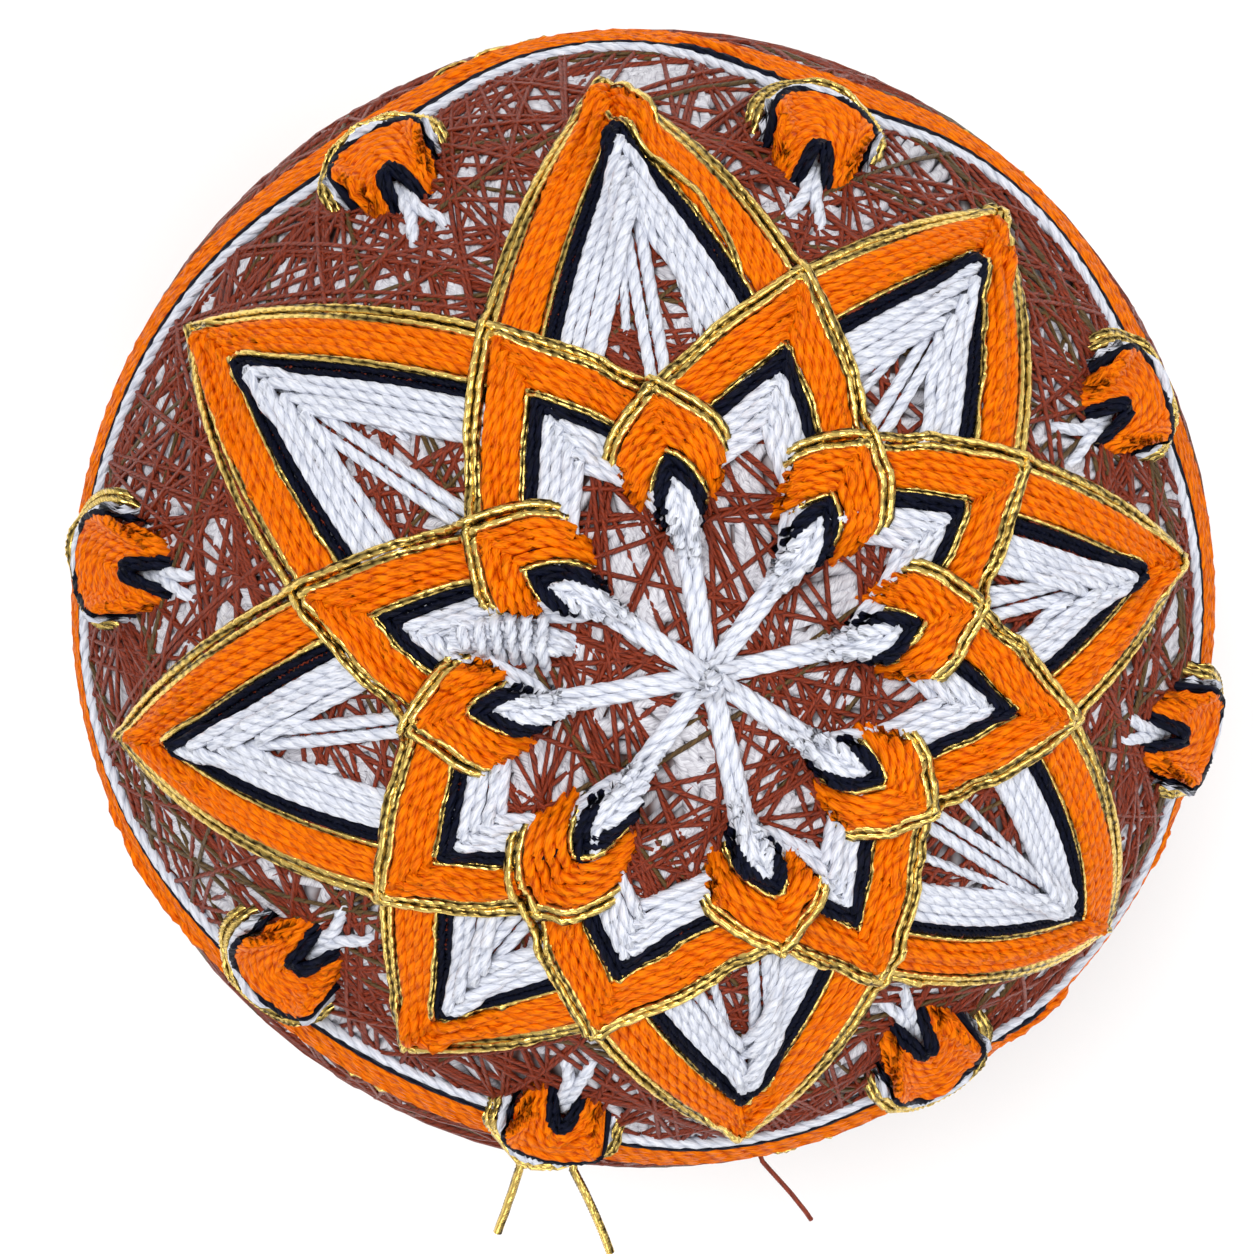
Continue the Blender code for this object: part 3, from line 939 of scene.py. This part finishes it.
class TEMARI_OT_stitch_rims(Operator):
    """Lays the stripe round each star, then the herringbone loops over it between the petals"""

    bl_idname = "temari.stitch_rims"
    bl_label = "Stitch the rim bands"

    def execute(self, context):
        bed = stitching_bed()
        widths = band_widths(context)
        rng = np.random.default_rng(context.scene.temari_ball.seed + 3)
        strands = {yarn: [] for yarn in FLATNESS}
        for flip in (False, True):
            rim = [dict(loop, **LOWER_RIM) for loop in UPPER_RIM] if flip else UPPER_RIM
            outward = 0.0
            for yarn in STRIPE_ROWS:
                width = widths[yarn]
                room = ROW_ROOM[yarn] * MM
                outward += 0.5 * room
                first = rng.uniform(0, 360)
                azimuths = np.linspace(first, first + STRIPE_TURN, 700)
                wobble = 0.06 * MM * np.sin(np.radians(azimuths) * rng.integers(5, 9) + first)
                angles = stripe_angles(rim, azimuths) + np.degrees((outward + wobble) / bed.radius)
                line = bed.strand(lower(heading(azimuths, angles), flip), width, 4)
                strands["gold" if yarn == "thin_gold" else yarn].append(line)
                outward += 0.5 * room
            for loop in rim:
                for tilt in (-1, 1):
                    strands["white"].append(self.stem(bed, loop, tilt, widths["white"], flip, rng))
                middle = loop["inner"] + PAD_MIDDLE * (loop["outer"] - loop["inner"])
                size = math.radians(loop["outer"] - loop["inner"]) * bed.radius
                bed.pad(loop["at"], middle, PAD_LENGTH * size, PAD_HALF_WIDTH, HEAP_PAD, flip)
                for row in HEAP_ROWS:
                    width = widths[row["yarn"]] * (1.08 if row["yarn"] == "orange" else 1.0)
                    way = heap_arc(loop, row, bed.radius)
                    strands[row["yarn"]].append(bed.strand(lower(way, flip), width, 3))
        finish_band(context, "rim_", strands)
        return {"FINISHED"}

    def stem(self, bed, loop, tilt, width, flip, rng):
        """White thread that comes out from under the navy, then parts from its twin."""
        top = math.radians(loop["inner"]) * bed.radius
        parting = rng.uniform(0.3, 1.7) * tilt
        plan = MM * np.concatenate([
            bezier((tilt * 0.15, 0.4), (tilt * 0.28, -1.4), (tilt * 0.32, -3.0), 12),
            bezier((tilt * 0.32, -3.0), (tilt * 0.36, -4.0), (parting, -5.6), 12)[1:],
        ])
        plan[:, 1] += top
        way = beside(loop["at"], plan[:, 0], plan[:, 1], bed.radius)
        return bed.strand(lower(way, flip), width * 1.05, 3)


def stitching_bed():
    if "bed" not in STITCHING:
        raise RuntimeError("wind the ball before stitching on it")
    return STITCHING["bed"]


# Thickness of the brown end, which is a little looser than where it is wound, and depth of every root
BROWN_END = 0.36 * MM
ROOT_DEPTH = 1.6 * MM


class TEMARI_OT_loose_ends(Operator):
    """Makes the cut thread ends that stick out at the rim"""

    bl_idname = "temari.loose_ends"
    bl_label = "Leave the loose ends"

    def execute(self, context):
        for node, yarn, slot in (
            ("gold_end_left", "gold", "gold_cord"),
            ("gold_end_right", "gold", "gold_cord"),
            ("brown_end", "brown", "brown_thread"),
        ):
            line = centre_line(node)
            width = context.scene.temari_yarns.gold if yarn == "gold" else BROWN_END
            piece = spin(node + "_thread", [(line, width)], yarn_material(context, yarn), 10, flatness=1.0)
            finish_piece(piece, slot, node)
        return {"FINISHED"}


def centre_line(node):
    """Middle of a CAD tube, from its root in the ball to its tip."""
    low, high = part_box(node)
    co = np.array([v.co for v in frame["nodes"][node].data.vertices])
    out = unit(np.array([(low.x + high.x) / 2 - MIDDLE_X, (low.y + high.y) / 2 - MIDDLE_Y, 0.0]))
    reach = co @ out
    cuts = np.linspace(reach.min(), reach.max(), 9)
    middles = []
    for a, b in zip(cuts[:-1], cuts[1:]):
        inside = co[(reach >= a - 1e-6) & (reach <= b + 1e-6)]
        if len(inside):
            middles.append((inside.min(0) + inside.max(0)) / 2)
    middles = np.array(middles)
    root = middles[0] - out * ROOT_DEPTH
    line = np.concatenate([[root], middles])
    at = np.linspace(0, len(line) - 1, 30)
    return np.stack([np.interp(at, np.arange(len(line)), line[:, i]) for i in range(3)], axis=1)


# ---------------------------------------------------------------- stage


# Soft lights: name, place in metres, size in metres and power in watts
LIGHTS = (
    ("key", (-0.25, 0.28, 0.8), 0.55, 4.9),
    ("fill", (0.55, 0.1, 0.55), 0.6, 1.8),
    ("front", (0.0, -0.6, 0.5), 0.6, 1.8),
)
ROOM_LIGHT = 0.54
# The camera looks down on the upper star: its directions back from the ball and to its right
CAMERA_BACK = (-0.0944, 0.1155, 0.9888)
CAMERA_RIGHT = (0.99548, 0.0, 0.0950)
CAMERA_AWAY = 0.240


def area_light(name, place, aim, size, power):
    lamp = bpy.data.lights.new(name, "AREA")
    lamp.shape = "DISK"
    lamp.size = size
    lamp.energy = power
    item = bpy.data.objects.new(name, lamp)
    item.location = place
    item.rotation_mode = "QUATERNION"
    item.rotation_quaternion = (Vector(aim) - Vector(place)).to_track_quat("-Z", "Y")
    bpy.context.scene.collection.objects.link(item)
    return item


class TEMARI_OT_stage(Operator):
    """Sets the pale floor, the soft lights and the camera over the ball"""

    bl_idname = "temari.stage"
    bl_label = "Set the stage"

    def execute(self, context):
        scene = context.scene
        centre = ball_centre(context)
        bpy.ops.mesh.primitive_plane_add(size=3.0, location=(0, 0, -0.02 * MM))
        floor = context.object
        floor.name = "floor"
        paint, _, shader = bare_material("Matte white board")
        shader.inputs["Base Color"].default_value = (*linear("#FAFAFA"), 1.0)
        shader.inputs["Roughness"].default_value = 0.9
        shader.inputs["Specular IOR Level"].default_value = 0.1
        floor.data.materials.append(paint)
        for name, place, size, power in LIGHTS:
            area_light(name, place, centre, size, power)
        world = bpy.data.worlds.new("Soft room")
        world.use_nodes = True
        world.node_tree.nodes["Background"].inputs["Color"].default_value = (1.0, 1.0, 1.0, 1.0)
        world.node_tree.nodes["Background"].inputs["Strength"].default_value = ROOM_LIGHT
        scene.world = world
        scene.view_settings.view_transform = "Standard"
        lens = bpy.data.cameras.new("camera")
        lens.lens, lens.sensor_width = 98.0, 36.0
        lens.shift_x, lens.shift_y = -0.0142, -0.0228
        lens.clip_start, lens.clip_end = 0.01, 10.0
        camera = bpy.data.objects.new("camera", lens)
        back = Vector(CAMERA_BACK).normalized()
        right = Vector(CAMERA_RIGHT).normalized()
        up = back.cross(right).normalized()
        turn = Matrix((right, up, back)).transposed()
        camera.matrix_world = Matrix.Translation(centre + back * CAMERA_AWAY) @ turn.to_4x4()
        scene.collection.objects.link(camera)
        scene.camera = camera
        return {"FINISHED"}


class TEMARI_PT_panel(Panel):
    bl_label = "Temari ball"
    bl_idname = "TEMARI_PT_panel"
    bl_space_type = "VIEW_3D"
    bl_region_type = "UI"
    bl_category = "Temari"

    def draw(self, context):
        for group in (context.scene.temari_ball, context.scene.temari_yarns, context.scene.temari_colours):
            box = self.layout.box()
            for name in group.__annotations__:
                box.prop(group, name)
        for operator in OPERATORS:
            self.layout.operator(operator.bl_idname)


OPERATORS = (
    TEMARI_OT_stage,
    TEMARI_OT_wind_ball,
    TEMARI_OT_lay_guides,
    TEMARI_OT_stitch_stars,
    TEMARI_OT_stitch_rims,
    TEMARI_OT_odd_stitches,
    TEMARI_OT_loose_ends,
)
CLASSES = (BallSizes, YarnSizes, YarnColours, *OPERATORS, TEMARI_PT_panel)


def register():
    for item in CLASSES:
        bpy.utils.register_class(item)
    bpy.types.Scene.temari_ball = PointerProperty(type=BallSizes)
    bpy.types.Scene.temari_yarns = PointerProperty(type=YarnSizes)
    bpy.types.Scene.temari_colours = PointerProperty(type=YarnColours)


def unregister():
    del bpy.types.Scene.temari_ball, bpy.types.Scene.temari_yarns, bpy.types.Scene.temari_colours
    for item in reversed(CLASSES):
        bpy.utils.unregister_class(item)


def main():
    register()
    bpy.ops.temari.stage()
    bpy.ops.temari.wind_ball()
    bpy.ops.temari.lay_guides()
    bpy.ops.temari.stitch_stars()
    bpy.ops.temari.stitch_rims()
    bpy.ops.temari.odd_stitches()
    bpy.ops.temari.loose_ends()


if __name__ == "__main__":
    main()
